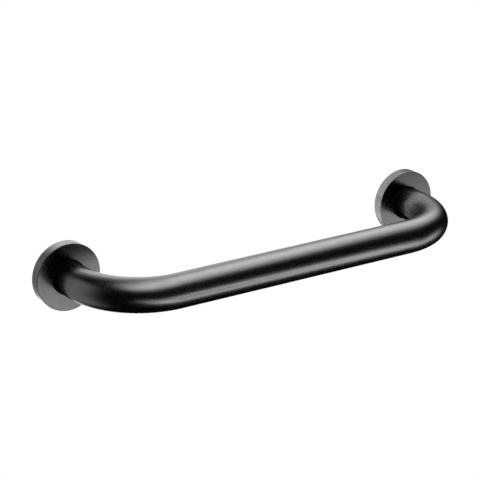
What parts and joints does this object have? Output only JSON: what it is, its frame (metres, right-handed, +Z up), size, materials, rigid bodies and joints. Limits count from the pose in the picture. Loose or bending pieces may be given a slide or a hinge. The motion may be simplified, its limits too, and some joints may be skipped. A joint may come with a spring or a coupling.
{
  "type": "grab bar",
  "caption": "Short straight wall grab bar: a round tube bent square at each end onto a plain round rosette, dark graphite brushed metal, concealed fixing with a set screw below.",
  "frame": {"origin": "on the wall plane, midway between the centres of the two rosettes", "axes": "+X along the bar to the right as seen from the room, +Y into the wall, +Z up; the bar stands out towards -Y"},
  "size_m": [0.35, 0.085, 0.05],
  "materials": {
    "graphite_metal": "dark graphite, finely brushed, satin",
    "seal_rubber": "black, matt, soft rubber",
    "bare_steel": "turned, uncoated stainless steel",
    "screw_steel": "smooth stainless steel fastener",
    "grub_steel": "blackened steel set screw"
  },
  "bodies": {
    "root": {"grip_tube": "graphite_metal", "left_rosette": "graphite_metal", "right_rosette": "graphite_metal", "left_sealing_ring": "seal_rubber", "right_sealing_ring": "seal_rubber", "left_wall_plate": "bare_steel", "right_wall_plate": "bare_steel", "left_tube_plug": "bare_steel", "right_tube_plug": "bare_steel", "left_clamp_screw": "screw_steel", "right_clamp_screw": "screw_steel", "left_grub_screw": "grub_steel", "right_grub_screw": "grub_steel"}
  },
  "joints": []
}
